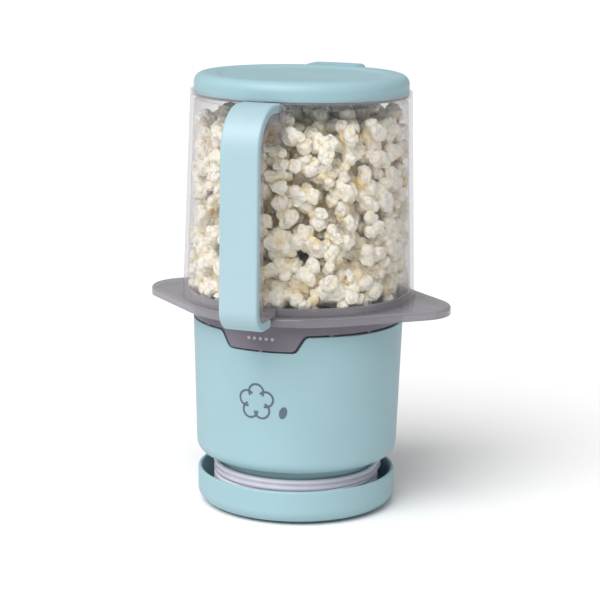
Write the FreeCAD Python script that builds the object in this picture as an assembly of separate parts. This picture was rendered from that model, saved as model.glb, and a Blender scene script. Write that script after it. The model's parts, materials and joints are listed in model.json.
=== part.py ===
"""Hot-air popcorn maker: a heated blower base with cord storage, a lift-off catch plate,
an upside-down clear bowl with a strap handle, and a push-on lid.

Frame: millimetres, +Z up, origin on the table at the centre of the feet, handle towards -Y,
grip ears of the catch plate along X.
"""

import FreeCAD
import Part
import math
import os

V = FreeCAD.Vector
UP = V(0, 0, 1)
ORIGIN = V(0, 0, 0)

# ---------------------------------------------------------------- driving dimensions
FOOT_H = 1.5
FOOT_R = 6.0
FOOT_PLACE_R = 46.0

TRAY_R = 65.9
TRAY_TOP = 23.5
TRAY_WALL = 2.5
TRAY_FLOOR = 2.5
TRAY_CORNER = 8.0

SHELL_BOTTOM = 34.5
SHELL_TOP = 126.3
SHELL_R_LOW = 66.6
SHELL_R_HIGH = 69.5
SHELL_WALL = 2.6
SHELL_CORNER = 8.0
SHELL_MOUTH_R = 57.0

COLLAR_TOP = 134.6
COLLAR_GAP = 1.2
DECK_THICK = 2.4
DECK_HOLE_R = 38.6
SLEEVE_BOTTOM = 112.0
BOSS_R = 3.4
BOSS_CIRCLE_R = 57.5
PANEL_BOTTOM = 116.8
PANEL_HALF_TOP = 27.0
PANEL_HALF_LOW = 21.4

PLATE_BOTTOM = 134.9
PLATE_TOP = 140.5
PLATE_R = 79.4
EAR_REACH = 104.0
EAR_TIP_R = 28.0
PLATE_WALL = 2.2
CHUTE_R = 33.6
CHUTE_WALL = 1.8
CHUTE_BOTTOM = 120.0
CHUTE_TOP = 161.4

BOWL_BOTTOM = 140.8
BOWL_R_LOW = 76.6
BOWL_R_HIGH = 72.3
BOWL_WALL = 2.5
BOWL_RIM = 276.2
RIM_INNER_R = 71.0
SHOULDER_Z = 272.7
NECK_R = 67.2
NECK_TOP = 280.5

LID_BOTTOM = 274.2
LID_R = 70.1
LID_CREST = 287.2
LID_WALL = 2.2
LID_CORNER = 6.5
TAB_REACH = 77.0
TAB_HALF_WIDTH = 17.5

HANDLE_REACH = 109.0
HANDLE_WIDTH = 25.4
HANDLE_TOP = 274.4
HANDLE_BOTTOM = 135.3
HANDLE_THICK = 6.0
CORE_THICK = 4.6
PAD_WIDTH = 32.0
PAD_THICK = 2.4

CHAMBER_R = 36.0
CHAMBER_WALL = 0.8
CHAMBER_FLOOR = 76.0
CHAMBER_RIM = 130.2

SPOOL_R = 51.0
SPOOL_FLAT_Y = 35.6
SPOOL_WALL = 2.4

CORD_WIDTH = 7.8
CORD_THICK = 4.0
CORD_LOOP_R = 53.5
CORD_FLAT_Y = 38.0
CORD_CORNER_R = 30.0
CORD_TURNS = 3
CORD_LOW_Z = 8.1
TURN_PITCH = 8.0

FAN_FLOOR = 40.0
FAN_TOP = 58.0
FAN_HOUSING_R = 50.0
FAN_R = 44.0
FAN_BLADES = 9
MOTOR_R = 13.8
MOTOR_BOTTOM = 14.0
SHAFT_R = 1.15
RUNNING_CLEARANCE = 0.05


# ---------------------------------------------------------------- shape helpers
def rounded_edges(points, place):
    """Edges of a closed outline. Each point is (u, v) or (u, v, corner radius)."""
    count = len(points)
    flat = [V(p[0], p[1], 0) for p in points]
    radii = [p[2] if len(p) > 2 else 0.0 for p in points]
    starts, ends, mids = [], [], []
    for i in range(count):
        here, before, after = flat[i], flat[i - 1], flat[(i + 1) % count]
        a = (before - here).normalize()
        b = (after - here).normalize()
        if radii[i] <= 0:
            starts.append(here)
            ends.append(here)
            mids.append(None)
            continue
        half = a.getAngle(b) / 2
        reach = radii[i] / math.tan(half)
        bisector = (a + b).normalize()
        centre = here + bisector * (radii[i] / math.sin(half))
        starts.append(here + a * reach)
        ends.append(here + b * reach)
        mids.append(centre - bisector * radii[i])
    edges = []
    for i in range(count):
        if mids[i] is not None:
            arc = [place(p.x, p.y) for p in (starts[i], mids[i], ends[i])]
            edges.append(Part.Arc(*arc).toShape())
        leave, arrive = ends[i], starts[(i + 1) % count]
        if (arrive - leave).Length > 1e-6:
            line = Part.LineSegment(place(leave.x, leave.y), place(arrive.x, arrive.y))
            edges.append(line.toShape())
    return edges


def turned(points):
    """A solid of revolution about Z from an (r, z[, corner radius]) outline."""
    wire = Part.Wire(rounded_edges(points, lambda r, z: V(r, 0, z)))
    return Part.Face(wire).revolve(ORIGIN, UP, 360)


def slab_yz(points, width):
    """An (outward, z) outline standing in the plane x = 0, outward being -Y, widened along X."""
    wire = Part.Wire(rounded_edges(points, lambda out, z: V(-width / 2, -out, z)))
    return Part.Face(wire).extrude(V(width, 0, 0))


def slab_xz(points, y_near, y_far):
    """An (x, z) outline extruded along Y from y_near to y_far."""
    wire = Part.Wire(rounded_edges(points, lambda x, z: V(x, y_near, z)))
    return Part.Face(wire).extrude(V(0, y_far - y_near, 0))


def slab_xy(points, low, high):
    """An (x, y) outline extruded along Z."""
    wire = Part.Wire(rounded_edges(points, lambda x, y: V(x, y, low)))
    return Part.Face(wire).extrude(V(0, 0, high - low))


def rod(radius, low, high, x=0.0, y=0.0):
    return Part.makeCylinder(radius, high - low, V(x, y, low))


def ring(outer, inner, low, high):
    return rod(outer, low, high).cut(rod(inner, low - 1, high + 1))


def block(dx, dy, dz, centre):
    return Part.makeBox(dx, dy, dz, centre - V(dx / 2, dy / 2, dz / 2))


def spun(shape, degrees):
    copy = shape.copy()
    copy.rotate(ORIGIN, UP, degrees)
    return copy


def around(shape, count, first=0.0):
    """Copies of a shape, evenly spaced about Z."""
    return [spun(shape, first + i * 360.0 / count) for i in range(count)]


def on_circle(radius, degrees):
    a = math.radians(degrees)
    return radius * math.cos(a), radius * math.sin(a)


def softened(shape, radius, chosen):
    """The shape with a fillet on the edges that the test chooses."""
    edges = [e for e in shape.Edges if chosen(e)]
    return shape.makeFillet(radius, edges)


def level_at(edge, z):
    """Whether an edge lies flat at that height."""
    return abs(edge.BoundBox.ZMin - z) < 1e-6 and abs(edge.BoundBox.ZMax - z) < 1e-6


def tube_along(points, radius):
    """A round tube along straight runs joined by the largest tangent arcs that fit."""
    runs = [b - a for a, b in zip(points, points[1:])]
    edges, leave, radii = [], points[0], []
    for i in range(1, len(points) - 1):
        back, ahead = (runs[i - 1] * -1).normalize(), V(runs[i]).normalize()
        shorter = min(runs[i - 1].Length, runs[i].Length)
        turn = math.pi - back.getAngle(ahead)
        reach = 0.45 * shorter
        bend = reach / math.tan(turn / 2)
        radii.append(round(bend, 1))
        bisector = (back + ahead).normalize()
        centre = points[i] + bisector * (bend / math.cos(turn / 2))
        start, end = points[i] + back * reach, points[i] + ahead * reach
        edges.append(Part.LineSegment(leave, start).toShape())
        edges.append(Part.Arc(start, centre - bisector * bend, end).toShape())
        leave = end
    edges.append(Part.LineSegment(leave, points[-1]).toShape())
    path = Part.Wire(edges)
    section = Part.Wire(Part.makeCircle(radius, points[0], runs[0]))
    made = path.makePipeShell([section], True, False)
    expected = math.pi * radius**2 * path.Length
    print("tube radii", radii, "volume over expected", round(made.Volume / expected, 3))
    return made


def screw(x, y, head_z, length, radius=1.4, head_r=2.9, head_h=1.8, up=True):
    """A pan-head screw with a cross recess; its head sits at head_z and its shank points up or down."""
    way = 1 if up else -1
    low, high = sorted((head_z, head_z - way * head_h))
    head = rod(head_r, low, high, x, y)
    rim_z = head_z - way * head_h
    head = softened(head, 0.7, lambda e: level_at(e, rim_z))
    slot = block(3.4, 0.7, 1.4, V(x, y, rim_z)).fuse(block(0.7, 3.4, 1.4, V(x, y, rim_z)))
    low, high = sorted((head_z, head_z + way * length))
    return head.cut(slot).fuse(rod(radius, low, high, x, y)).removeSplitter()


def save(name, *shapes):
    """Writes the node's solids to parts/NAME.step."""
    solids = [s for shape in shapes for s in shape.Solids]
    whole = solids[0] if len(solids) == 1 else Part.makeCompound(solids)
    if not whole.isValid():
        print("INVALID", name)
    whole.exportStep(os.path.join("parts", name + ".step"))


# ---------------------------------------------------------------- base tray and feet
def foot_places():
    return [on_circle(FOOT_PLACE_R, 45 + 90 * i) for i in range(4)]


SPOOL_SCREWS = [on_circle(38.0, a) for a in (30, 150, 270)]


def base_tray():
    """The dish that the cord is stored in."""
    inner = TRAY_R - TRAY_WALL
    floor = FOOT_H + TRAY_FLOOR
    tray = turned([
        (0, FOOT_H), (TRAY_R, FOOT_H, TRAY_CORNER), (TRAY_R, TRAY_TOP, 1.2),
        (inner, TRAY_TOP, 1.2), (inner, floor, TRAY_CORNER - TRAY_WALL), (0, floor),
    ])
    for x, y in foot_places():
        tray = tray.cut(rod(2.6, 0, floor + 1, x, y))
    for x, y in SPOOL_SCREWS:
        tray = tray.cut(rod(1.7, 0, floor + 1, x, y)).cut(rod(3.2, 0, FOOT_H + 1.2, x, y))
    return tray


def rubber_feet():
    """Stick-through feet: a pad below the tray and a plug in its hole."""
    feet = []
    for x, y in foot_places():
        pad = softened(rod(FOOT_R, 0, FOOT_H, x, y), 0.5, lambda e: e.BoundBox.ZMax < 1e-6)
        feet.append(pad.fuse(rod(2.55, FOOT_H, FOOT_H + TRAY_FLOOR, x, y)).removeSplitter())
    return feet


# ---------------------------------------------------------------- cord store
def loop_outline(offset):
    """The cord's loop: a circle flattened at the back, with that offset from its middle line."""
    big, corner = CORD_LOOP_R, CORD_CORNER_R
    centre_y = CORD_FLAT_Y - corner
    centre_x = math.sqrt((big - corner) ** 2 - centre_y**2)
    meet = V(centre_x, centre_y, 0).normalize() * (big + offset)
    flat_y = CORD_FLAT_Y + offset
    diagonal = (V(centre_x, centre_y, 0).normalize() + V(0, 1, 0)).normalize() * (corner + offset)
    middle = V(centre_x, centre_y, 0) + diagonal
    mirror = lambda p: V(-p.x, p.y, p.z)
    tangent = V(centre_x, flat_y, 0)
    return Part.Wire([
        Part.Arc(mirror(meet), V(0, -big - offset, 0), meet).toShape(),
        Part.Arc(meet, middle, tangent).toShape(),
        Part.LineSegment(tangent, mirror(tangent)).toShape(),
        Part.Arc(mirror(tangent), mirror(middle), mirror(meet)).toShape(),
    ])


def loop_slab(offset, low, high):
    face = Part.Face(loop_outline(offset))
    face.translate(V(0, 0, low))
    return face.extrude(V(0, 0, high - low))


SPOOL_INSET = CORD_LOOP_R - SPOOL_R
SPOOL_BASE = FOOT_H + TRAY_FLOOR + 0.1
DISC_LOW, DISC_HIGH = SHELL_BOTTOM + 0.2, SHELL_BOTTOM + SHELL_WALL + 2.3
LEDGE_LOW = SHELL_BOTTOM + SHELL_WALL + 0.1
RELIEF_Z = 9.8
RELIEF_Y = 31.4
RELIEF_ROOT_X = 27.0
RELIEF_TIP_X = 6.0
NICHE_END_X = -16.0
NICHE_DEPTH_Y = 27.8
NICHE_TOP = 17.0


def cord_spool():
    """The hollow stem that the cord winds round, with the base's slotted floor on top of it."""
    stem = loop_slab(-SPOOL_INSET, SPOOL_BASE, DISC_LOW + 0.5)
    disc = turned([
        (0, DISC_LOW), (SHELL_MOUTH_R - 0.3, DISC_LOW), (SHELL_MOUTH_R - 0.3, LEDGE_LOW),
        (SHELL_MOUTH_R + 2.0, LEDGE_LOW), (SHELL_MOUTH_R + 2.0, DISC_HIGH), (0, DISC_HIGH),
    ])
    spool = stem.fuse(disc)
    spool = spool.cut(loop_slab(-SPOOL_INSET - SPOOL_WALL, SPOOL_BASE - 1, DISC_LOW))
    spool = spool.cut(rod(MOTOR_R + 3.0, DISC_LOW - 1, DISC_HIGH + 1))
    slot = block(2.6, 2.6, 12, V(53.9, 0, DISC_HIGH))
    for cutter in around(slot, 40):
        spool = spool.cut(cutter)
    for x, y in SPOOL_SCREWS:
        post = rod(3.6, SPOOL_BASE, DISC_LOW + 0.5, x, y)
        spool = spool.fuse(post.cut(rod(1.35, SPOOL_BASE - 1, SPOOL_BASE + 12, x, y)))
    spool = spool.fuse(cord_niche(1.8)).cut(cord_niche(0.0))
    spool = spool.cut(block(12.0, 3.2, 5.8, V(RELIEF_ROOT_X + 5.0, RELIEF_Y, RELIEF_Z)))
    return spool.removeSplitter()


def cord_niche(wall):
    """The pocket in the stem's flat side that the grommet lies in, larger by wall."""
    across = RELIEF_ROOT_X - NICHE_END_X
    low = SPOOL_BASE - (0.0 if wall else 1.0)
    outside_y = SPOOL_FLAT_Y + 4.4
    high = NICHE_TOP + wall
    middle = V((RELIEF_ROOT_X + NICHE_END_X) / 2, (NICHE_DEPTH_Y + outside_y) / 2, (low + high) / 2)
    pocket = block(across + 2 * wall, outside_y - NICHE_DEPTH_Y + 2 * wall, high - low, middle)
    if not wall:
        return pocket
    return pocket.common(loop_slab(-SPOOL_INSET, SPOOL_BASE, NICHE_TOP + 10))


def strain_relief():
    """A tapered grommet: a flange against the boss, then a ribbed sleeve round the cord."""
    def station(x, height, depth):
        w, h = depth / 2, height / 2
        points = [(-w, -h, w * 0.8), (w, -h, w * 0.8), (w, h, w * 0.8), (-w, h, w * 0.8)]
        return Part.Wire(rounded_edges(points, lambda a, b: V(x, RELIEF_Y + a, RELIEF_Z + b)))
    body = Part.makeLoft([station(RELIEF_ROOT_X, 10.4, 5.6), station(RELIEF_TIP_X, 8.8, 4.8)], True)
    for i in range(4):
        x = RELIEF_ROOT_X - 4.0 - i * 3.6
        body = body.cut(block(1.1, 0.7, 20, V(x, RELIEF_Y + 2.6, RELIEF_Z)))
    return body


def power_cord_coil():
    """The outer shape of the wound turns, as one plain band."""
    low = CORD_LOW_Z - CORD_WIDTH / 2
    high = CORD_LOW_Z + (CORD_TURNS - 1) * TURN_PITCH + CORD_WIDTH / 2
    return loop_slab(CORD_THICK / 2, low, high).cut(loop_slab(-CORD_THICK / 2, low - 1, high + 1))


PLUG_Z = 14.4
PLUG_Y = 51.0
PLUG_TAIL_X = 14.0
PLUG_NOSE_X = -10.0
TAIL_POINTS = [
    V(49.6, 30.2, 23.6), V(42.0, 40.5, 21.6), V(32.5, 48.0, 18.2),
    V(23.0, PLUG_Y, PLUG_Z), V(PLUG_TAIL_X + 0.1, PLUG_Y, PLUG_Z),
]


def power_cord_tail():
    """The stretch of cord between the wound turns and the plug."""
    return tube_along(TAIL_POINTS, CORD_THICK / 2)


def plug_body():
    """A flat moulded two-pin plug, lying in the pocket behind the spool."""
    length = PLUG_TAIL_X - PLUG_NOSE_X
    points = [
        (PLUG_NOSE_X, PLUG_Z - 10, 1.5), (PLUG_TAIL_X - 7, PLUG_Z - 10, 5),
        (PLUG_TAIL_X, PLUG_Z - 5.6, 1.2), (PLUG_TAIL_X, PLUG_Z + 5.6, 1.2),
        (PLUG_TAIL_X - 7, PLUG_Z + 10, 5), (PLUG_NOSE_X, PLUG_Z + 10, 1.5),
    ]
    body = slab_xz(points, PLUG_Y - 5.4, PLUG_Y + 5.4)
    outline = lambda e: abs(e.BoundBox.YMax - e.BoundBox.YMin) < 1e-6
    body = softened(body, 1.4, outline)
    for i in range(3):
        place = V(PLUG_TAIL_X - 3.4 - 2.6 * i, PLUG_Y, PLUG_Z)
        groove = block(1.2, 20, length * 0.5, place)
        body = body.cut(groove.cut(block(2.0, 9.8, 40, place)))
    return body


def plug_prongs():
    """Two flat blades, one of them wider."""
    blades = []
    for z, width in ((PLUG_Z - 6.35, 6.3), (PLUG_Z + 6.35, 7.9)):
        blade = block(17.0, 1.5, width, V(PLUG_NOSE_X - 8.5, PLUG_Y, z))
        blade = blade.cut(Part.makeCylinder(1.2, 4, V(PLUG_NOSE_X - 13.0, PLUG_Y - 2, z), V(0, 1, 0)))
        nose = lambda e: e.BoundBox.XMax < PLUG_NOSE_X - 16.9
        across = lambda e: e.BoundBox.YLength > 1.4 and e.BoundBox.ZLength < 1e-6
        blades.append(softened(blade, 1.2, lambda e: nose(e) and across(e)))
    return blades


# ---------------------------------------------------------------- base shell and collar
def panel_outline(grow, top):
    """The name panel's outline in (x, z), larger all round by grow, flaring into a level edge at top."""
    low = PANEL_BOTTOM - grow
    lean = (PANEL_HALF_TOP - PANEL_HALF_LOW) / (SHELL_TOP - PANEL_BOTTOM)
    half_low = PANEL_HALF_LOW + grow * 1.1
    half_top = half_low + lean * (top - low)
    flare = half_top + 8.0
    return [
        (half_low, low, 4.5), (half_top, top, 4.0), (flare, top), (flare, top + 3.0),
        (-flare, top + 3.0), (-flare, top), (-half_top, top, 4.0), (-half_low, low, 4.5),
    ]


BOSS_PLACES = [on_circle(BOSS_CIRCLE_R, a) for a in (30, 150, 270)]


def base_shell():
    """The tapered outer body, notched at the front for the name panel."""
    inner_low, inner_high = SHELL_R_LOW - SHELL_WALL, SHELL_R_HIGH - SHELL_WALL
    shell = turned([
        (SHELL_MOUTH_R, SHELL_BOTTOM), (SHELL_R_LOW, SHELL_BOTTOM, SHELL_CORNER),
        (SHELL_R_HIGH, SHELL_TOP, 0.6), (inner_high, SHELL_TOP, 0.6),
        (inner_low, SHELL_BOTTOM + SHELL_WALL, SHELL_CORNER - SHELL_WALL),
        (SHELL_MOUTH_R, SHELL_BOTTOM + SHELL_WALL),
    ])
    shell = shell.cut(slab_xz(panel_outline(COLLAR_GAP, SHELL_TOP), -80, -50))
    web_end = SHELL_R_LOW - 0.1
    for x, y in BOSS_PLACES:
        boss = rod(BOSS_R, 84.0, 108.0, x, y)
        web_middle = V((web_end + BOSS_CIRCLE_R) / 2, 0, 94.0)
        web = block(web_end - BOSS_CIRCLE_R, 2.2, 20.0, web_middle)
        web = spun(web, math.degrees(math.atan2(y, x)))
        shell = shell.fuse(boss.fuse(web))
        shell = shell.cut(rod(1.35, 94.0, 109.0, x, y))
    return shell.removeSplitter()


RIB_ANGLES = (-152, -128, -52, -28, 0, 60, 120, 180)


def top_collar():
    """The grey ring that closes the base: a deck, a sleeve inside the shell and the name panel."""
    skirt_z = SHELL_TOP + COLLAR_GAP
    sleeve_r = SHELL_R_HIGH - SHELL_WALL - 0.5
    collar = turned([
        (SHELL_R_HIGH, skirt_z, 0.4), (SHELL_R_HIGH, COLLAR_TOP, 0.8), (DECK_HOLE_R, COLLAR_TOP, 0.5),
        (DECK_HOLE_R, COLLAR_TOP - DECK_THICK), (sleeve_r - 2.4, COLLAR_TOP - DECK_THICK),
        (sleeve_r - 2.4, SLEEVE_BOTTOM), (sleeve_r, SLEEVE_BOTTOM), (sleeve_r, skirt_z),
    ])
    band = ring(SHELL_R_HIGH, sleeve_r - 0.6, PANEL_BOTTOM - 2, skirt_z + 0.3)
    collar = collar.fuse(band.common(slab_xz(panel_outline(0, skirt_z), -80, -50)))
    rib_h = COLLAR_GAP + 0.4
    for angle in RIB_ANGLES:
        rib = block(2.2, 3.0, rib_h, V(SHELL_R_HIGH - 2.1, 0, SHELL_TOP + rib_h / 2))
        collar = collar.fuse(spun(rib, angle))
    under_panel = V(0, 1.5 - SHELL_R_HIGH, PANEL_BOTTOM - COLLAR_GAP + rib_h / 2)
    collar = collar.fuse(block(2.2, 2.2, rib_h, under_panel))
    for x, y in BOSS_PLACES:
        collar = collar.fuse(rod(BOSS_R, 108.2, COLLAR_TOP - 2.0, x, y))
        collar = collar.cut(rod(1.7, 100, 150, x, y)).cut(rod(3.2, SLEEVE_BOTTOM, 150, x, y))
    return collar.removeSplitter()


# ---------------------------------------------------------------- popping chamber, heater and fan
def chamber_insulator():
    """The ring that keeps the hot cup off the plastic deck."""
    low, high = CHAMBER_RIM + 0.05, COLLAR_TOP - DECK_THICK - 0.05
    return turned([(38.9, low), (46.0, low, 0.3), (46.0, high, 0.3), (38.9, high)])


def popping_chamber():
    """A drawn aluminium cup with slanted air slots round its foot and a cone in its floor."""
    outer = CHAMBER_R + CHAMBER_WALL
    cup = turned([
        (0, CHAMBER_FLOOR + 5.0), (16.0, CHAMBER_FLOOR, 6.0), (outer, CHAMBER_FLOOR, 5.0),
        (outer, CHAMBER_RIM - CHAMBER_WALL, 1.0), (45.0, CHAMBER_RIM - CHAMBER_WALL), (45.0, CHAMBER_RIM),
        (CHAMBER_R, CHAMBER_RIM, 1.8), (CHAMBER_R, CHAMBER_FLOOR + CHAMBER_WALL, 4.2),
        (16.0, CHAMBER_FLOOR + CHAMBER_WALL, 6.8), (0, CHAMBER_FLOOR + 5.0 + CHAMBER_WALL),
    ])
    middle = V(CHAMBER_R + 0.4, 0, CHAMBER_FLOOR + 12.0)
    slot = block(5.0, 1.5, 11.0, middle)
    slot.rotate(middle, V(1, 0, 0), 24)
    for cutter in around(slot, 24):
        cup = cup.cut(cutter)
    return cup


HEATER_CAN_R = 42.0


def heater_cup():
    """The steel can that guides hot air up round the foot of the chamber."""
    hole = CHAMBER_R + CHAMBER_WALL + 0.4
    foot, thick, top = FAN_TOP + 0.1, 0.8, 98.8
    return turned([
        (HEATER_CAN_R, foot), (49.6, foot), (49.6, foot + thick), (HEATER_CAN_R + thick, foot + thick, 0.8),
        (HEATER_CAN_R + thick, top, 1.6), (hole, top), (hole, top - thick), (HEATER_CAN_R, top - thick, 0.8),
    ])


COIL_RADIUS = 29.0
COIL_PITCH = 3.4
COIL_LOW = 61.2
COIL_TURNS = 3
COIL_WIRE_R = 0.55
MICA_LOW, MICA_HIGH = 58.2, 75.0


def heater_coil():
    """The resistance wire, a helix threaded through the mica cross."""
    spine = Part.makeHelix(COIL_PITCH, COIL_PITCH * COIL_TURNS, COIL_RADIUS)
    spine.translate(V(0, 0, COIL_LOW))
    start = V(COIL_RADIUS, 0, COIL_LOW)
    section = Part.Wire(Part.makeCircle(COIL_WIRE_R, start, V(0, 1, 0)))
    return Part.Wire(spine).makePipeShell([section], True, True)


def mica_frame():
    """Two mica boards, slotted into each other, with a notch for each pass of the wire."""
    boards = []
    for angle in (45.0, 135.0):
        board = block(82.0, 0.8, MICA_HIGH - MICA_LOW, V(0, 0, (MICA_LOW + MICA_HIGH) / 2))
        low, high = (MICA_LOW - 1, 66.6) if angle < 90 else (66.5, MICA_HIGH + 1)
        board = board.cut(block(0.9, 3, high - low, V(0, 0, (low + high) / 2)))
        for side, at in ((1, angle), (-1, angle + 180)):
            for turn in range(COIL_TURNS):
                z = COIL_LOW + COIL_PITCH * (turn + at / 360)
                board = board.cut(block(2.2, 3, 2.2, V(side * COIL_RADIUS, 0, z)))
        boards.append(spun(board, angle))
    return boards


MOTOR_SCREW_PLACES = [(9.0, 0), (-9.0, 0)]
HOUSING_POSTS = [on_circle(42.0, a) for a in (90, 210, 330)]


def fan_housing():
    """The duct round the fan; its floor carries the motor and lets air in round it."""
    duct = turned([
        (0, FAN_FLOOR), (FAN_HOUSING_R, FAN_FLOOR, 2.0), (FAN_HOUSING_R, FAN_TOP),
        (FAN_HOUSING_R - 2.4, FAN_TOP), (FAN_HOUSING_R - 2.4, FAN_FLOOR + 2.2, 2.0), (0, FAN_FLOOR + 2.2),
    ])
    below, above = FAN_FLOOR - 1, FAN_FLOOR + 3
    window = slab_xy([(19, -8.4, 2.0), (36, -14.6, 2.0), (36, 14.6, 2.0), (19, 8.4, 2.0)], below, above)
    for cutter in around(window, 6, 30):
        duct = duct.cut(cutter)
    duct = duct.cut(rod(5.2, below, above))
    for x, y in MOTOR_SCREW_PLACES:
        duct = duct.cut(rod(1.4, below, above, x, y))
    for x, y in HOUSING_POSTS:
        duct = duct.cut(rod(1.6, below, above, x, y))
    return duct.removeSplitter()


BLADE_LOW, BLADE_HIGH = 44.4, 51.8
BLADE_THICK = 1.1
BLADE_STATIONS = [(5.6, 60), (18.0, 46), (31.0, 38), (FAN_R, 32)]


def fan_impeller():
    """A hub on the motor shaft with twisted blades, which lie flatter towards their tips."""
    fan = turned([(SHAFT_R, 43.6), (7.0, 43.6, 0.5), (7.0, 53.4, 2.4), (SHAFT_R, 53.4)])
    sections = []
    for radius, lean in BLADE_STATIONS:
        half = 4.4 / math.tan(math.radians(lean))
        points = [(-half, BLADE_LOW), (half, BLADE_HIGH), (half, BLADE_HIGH + BLADE_THICK),
                  (-half, BLADE_LOW + BLADE_THICK)]
        sections.append(Part.Wire(rounded_edges(points, lambda y, z, r=radius: V(r, y, z))))
    for blade in around(Part.makeLoft(sections, True), FAN_BLADES):
        fan = fan.fuse(blade)
    return fan.removeSplitter()


def motor_can():
    can = turned([
        (0, MOTOR_BOTTOM), (MOTOR_R, MOTOR_BOTTOM), (MOTOR_R, FAN_FLOOR - 0.05, 1.6),
        (5.0, FAN_FLOOR - 0.05), (5.0, FAN_FLOOR + 2.0, 0.5), (0, FAN_FLOOR + 2.0),
    ])
    can = can.cut(rod(MOTOR_R - 1.0, MOTOR_BOTTOM - 1, FAN_FLOOR - 1.2)).cut(rod(3.0, 30, 50))
    vent = block(8.0, 3.0, 4.0, V(MOTOR_R, 0, 34.0))
    for cutter in around(vent, 4, 45):
        can = can.cut(cutter)
    for x, y in MOTOR_SCREW_PLACES:
        can = can.cut(rod(1.05, 36, 45, x, y))
    return can


def motor_magnets():
    """Two curved ferrite magnets."""
    whole = ring(MOTOR_R - 1.1, MOTOR_R - 3.6, 18.0, 32.0)
    gap = block(60, 7.0, 40, V(0, 0, 25))
    return whole.cut(gap)


BRUSH_TAB_X = 10.4


def motor_end_cap():
    """The moulded cap that closes the can, with two brush tabs that reach down to the board."""
    seam = MOTOR_BOTTOM - 0.02
    cap = turned([(3.0, 12.2), (MOTOR_R, 12.2, 0.8), (MOTOR_R, seam), (MOTOR_R - 1.1, seam),
                  (MOTOR_R - 1.1, 16.0), (3.0, 16.0)])
    tabs = [block(0.6, 3.0, 5.6, V(side * BRUSH_TAB_X, 0, 9.9)) for side in (1, -1)]
    return cap.fuse(tabs[0]).fuse(tabs[1])


def motor_bushes():
    """The sintered bushes that the shaft runs in, one in the cap and one in the can."""
    bore = SHAFT_R + RUNNING_CLEARANCE
    return [ring(2.98, bore, 12.3, 15.9), ring(2.98, bore, 38.6, 41.9)]


def motor_armature():
    """The laminated rotor with three poles, and the commutator below it."""
    core = rod(3.4, 19.6, 30.4).fuse(around(block(8.0, 5.2, 10.0, V(4.4, 0, 25.0)), 3))
    shoes = ring(9.6, 7.8, 20.0, 30.0)
    for cutter in around(block(20, 2.2, 40, V(10, 0, 25)), 3, 60):
        shoes = shoes.cut(cutter)
    made = core.fuse(shoes).fuse(rod(2.6, 16.6, 19.8))
    return made.cut(rod(SHAFT_R, 0, 60))


def motor_shaft():
    return rod(SHAFT_R, 10.8, 53.0)


def rectifier_board():
    """The round circuit board under the motor."""
    board = rod(12.8, 6.4, 8.0)
    for side in (1, -1):
        board = board.cut(block(1.0, 3.6, 6, V(side * BRUSH_TAB_X, 0, 7)))
    return board


def rectifier_diodes():
    """Four diodes with bent leads, in a square round the shaft's end."""
    made = []
    for i in range(4):
        body = Part.makeCylinder(1.2, 4.6, V(-2.3, 7.0, 9.3), V(1, 0, 0))
        leads = rod(0.35, 8.02, 9.6, -4.0, 7.0).fuse(rod(0.35, 8.02, 9.6, 4.0, 7.0))
        bar = Part.makeCylinder(0.35, 8.0, V(-4.0, 7.0, 9.3), V(1, 0, 0))
        made.append(spun(body.fuse(leads).fuse(bar), 90 * i + 45))
    return made


CUT_OUT_Z = 80.0
FUSE_Z = 88.0


def thermostat():
    """A bimetal cut-out clipped to the heater can, with two tabs."""
    x = HEATER_CAN_R + 0.9
    out = V(1, 0, 0)
    body = Part.makeCylinder(7.0, 4.6, V(x + 0.6, 0, CUT_OUT_Z), out)
    plate = Part.makeCylinder(7.4, 0.6, V(x, 0, CUT_OUT_Z), out)
    body = body.fuse(plate).fuse(block(0.6, 22.0, 6.0, V(x + 0.3, 0, CUT_OUT_Z)))
    for side in (1, -1):
        body = body.fuse(block(4.0, 5.0, 0.8, V(x + 6.6, 0, CUT_OUT_Z + side * 4.2)))
    return spun(body, 60)


def thermal_fuse():
    """A one-shot fuse beside the cut-out, with its two leads."""
    x = HEATER_CAN_R + 3.1
    body = Part.makeCylinder(2.0, 10.0, V(x, -5, FUSE_Z), V(0, 1, 0))
    leads = Part.makeCylinder(0.5, 22.0, V(x, -11, FUSE_Z), V(0, 1, 0))
    return spun(body.fuse(leads), 118)


WIRE_R = 1.1


def internal_wires():
    """Insulated leads: mains to the cut-out and fuse, and the fuse to the motor's board."""
    def at(radius, degrees, z):
        x, y = on_circle(radius, degrees)
        return V(x, y, z)
    mains = [V(30.8, 29.4, RELIEF_Z), V(30.8, 24.6, RELIEF_Z + 1.0), V(23.0, 19.5, 14.0),
             V(15.6, 18.6, 22.0), at(15.3, 50, 33.0)]
    riser = [at(57.0, 62, 44.0), at(57.4, 61, 56.0), at(56.0, 60, 68.0), at(53.0, 60, 75.8)]
    link = [at(53.0, 66, 84.6), at(56.0, 80, 87.0), at(56.0, 96, FUSE_Z), at(50.0, 103.0, FUSE_Z + 0.4)]
    return [tube_along(route, WIRE_R) for route in (mains, riser, link)]


# ---------------------------------------------------------------- screws
def tray_screws():
    return [screw(x, y, FOOT_H + 1.2, 9.0) for x, y in SPOOL_SCREWS]


def collar_screws():
    return [screw(x, y, SLEEVE_BOTTOM, 15.0, up=False) for x, y in BOSS_PLACES]


def motor_screws():
    top = FAN_FLOOR + 2.2
    return [screw(x, y, top, 4.0, 1.0, 1.9, 1.3, up=False) for x, y in MOTOR_SCREW_PLACES]


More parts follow.
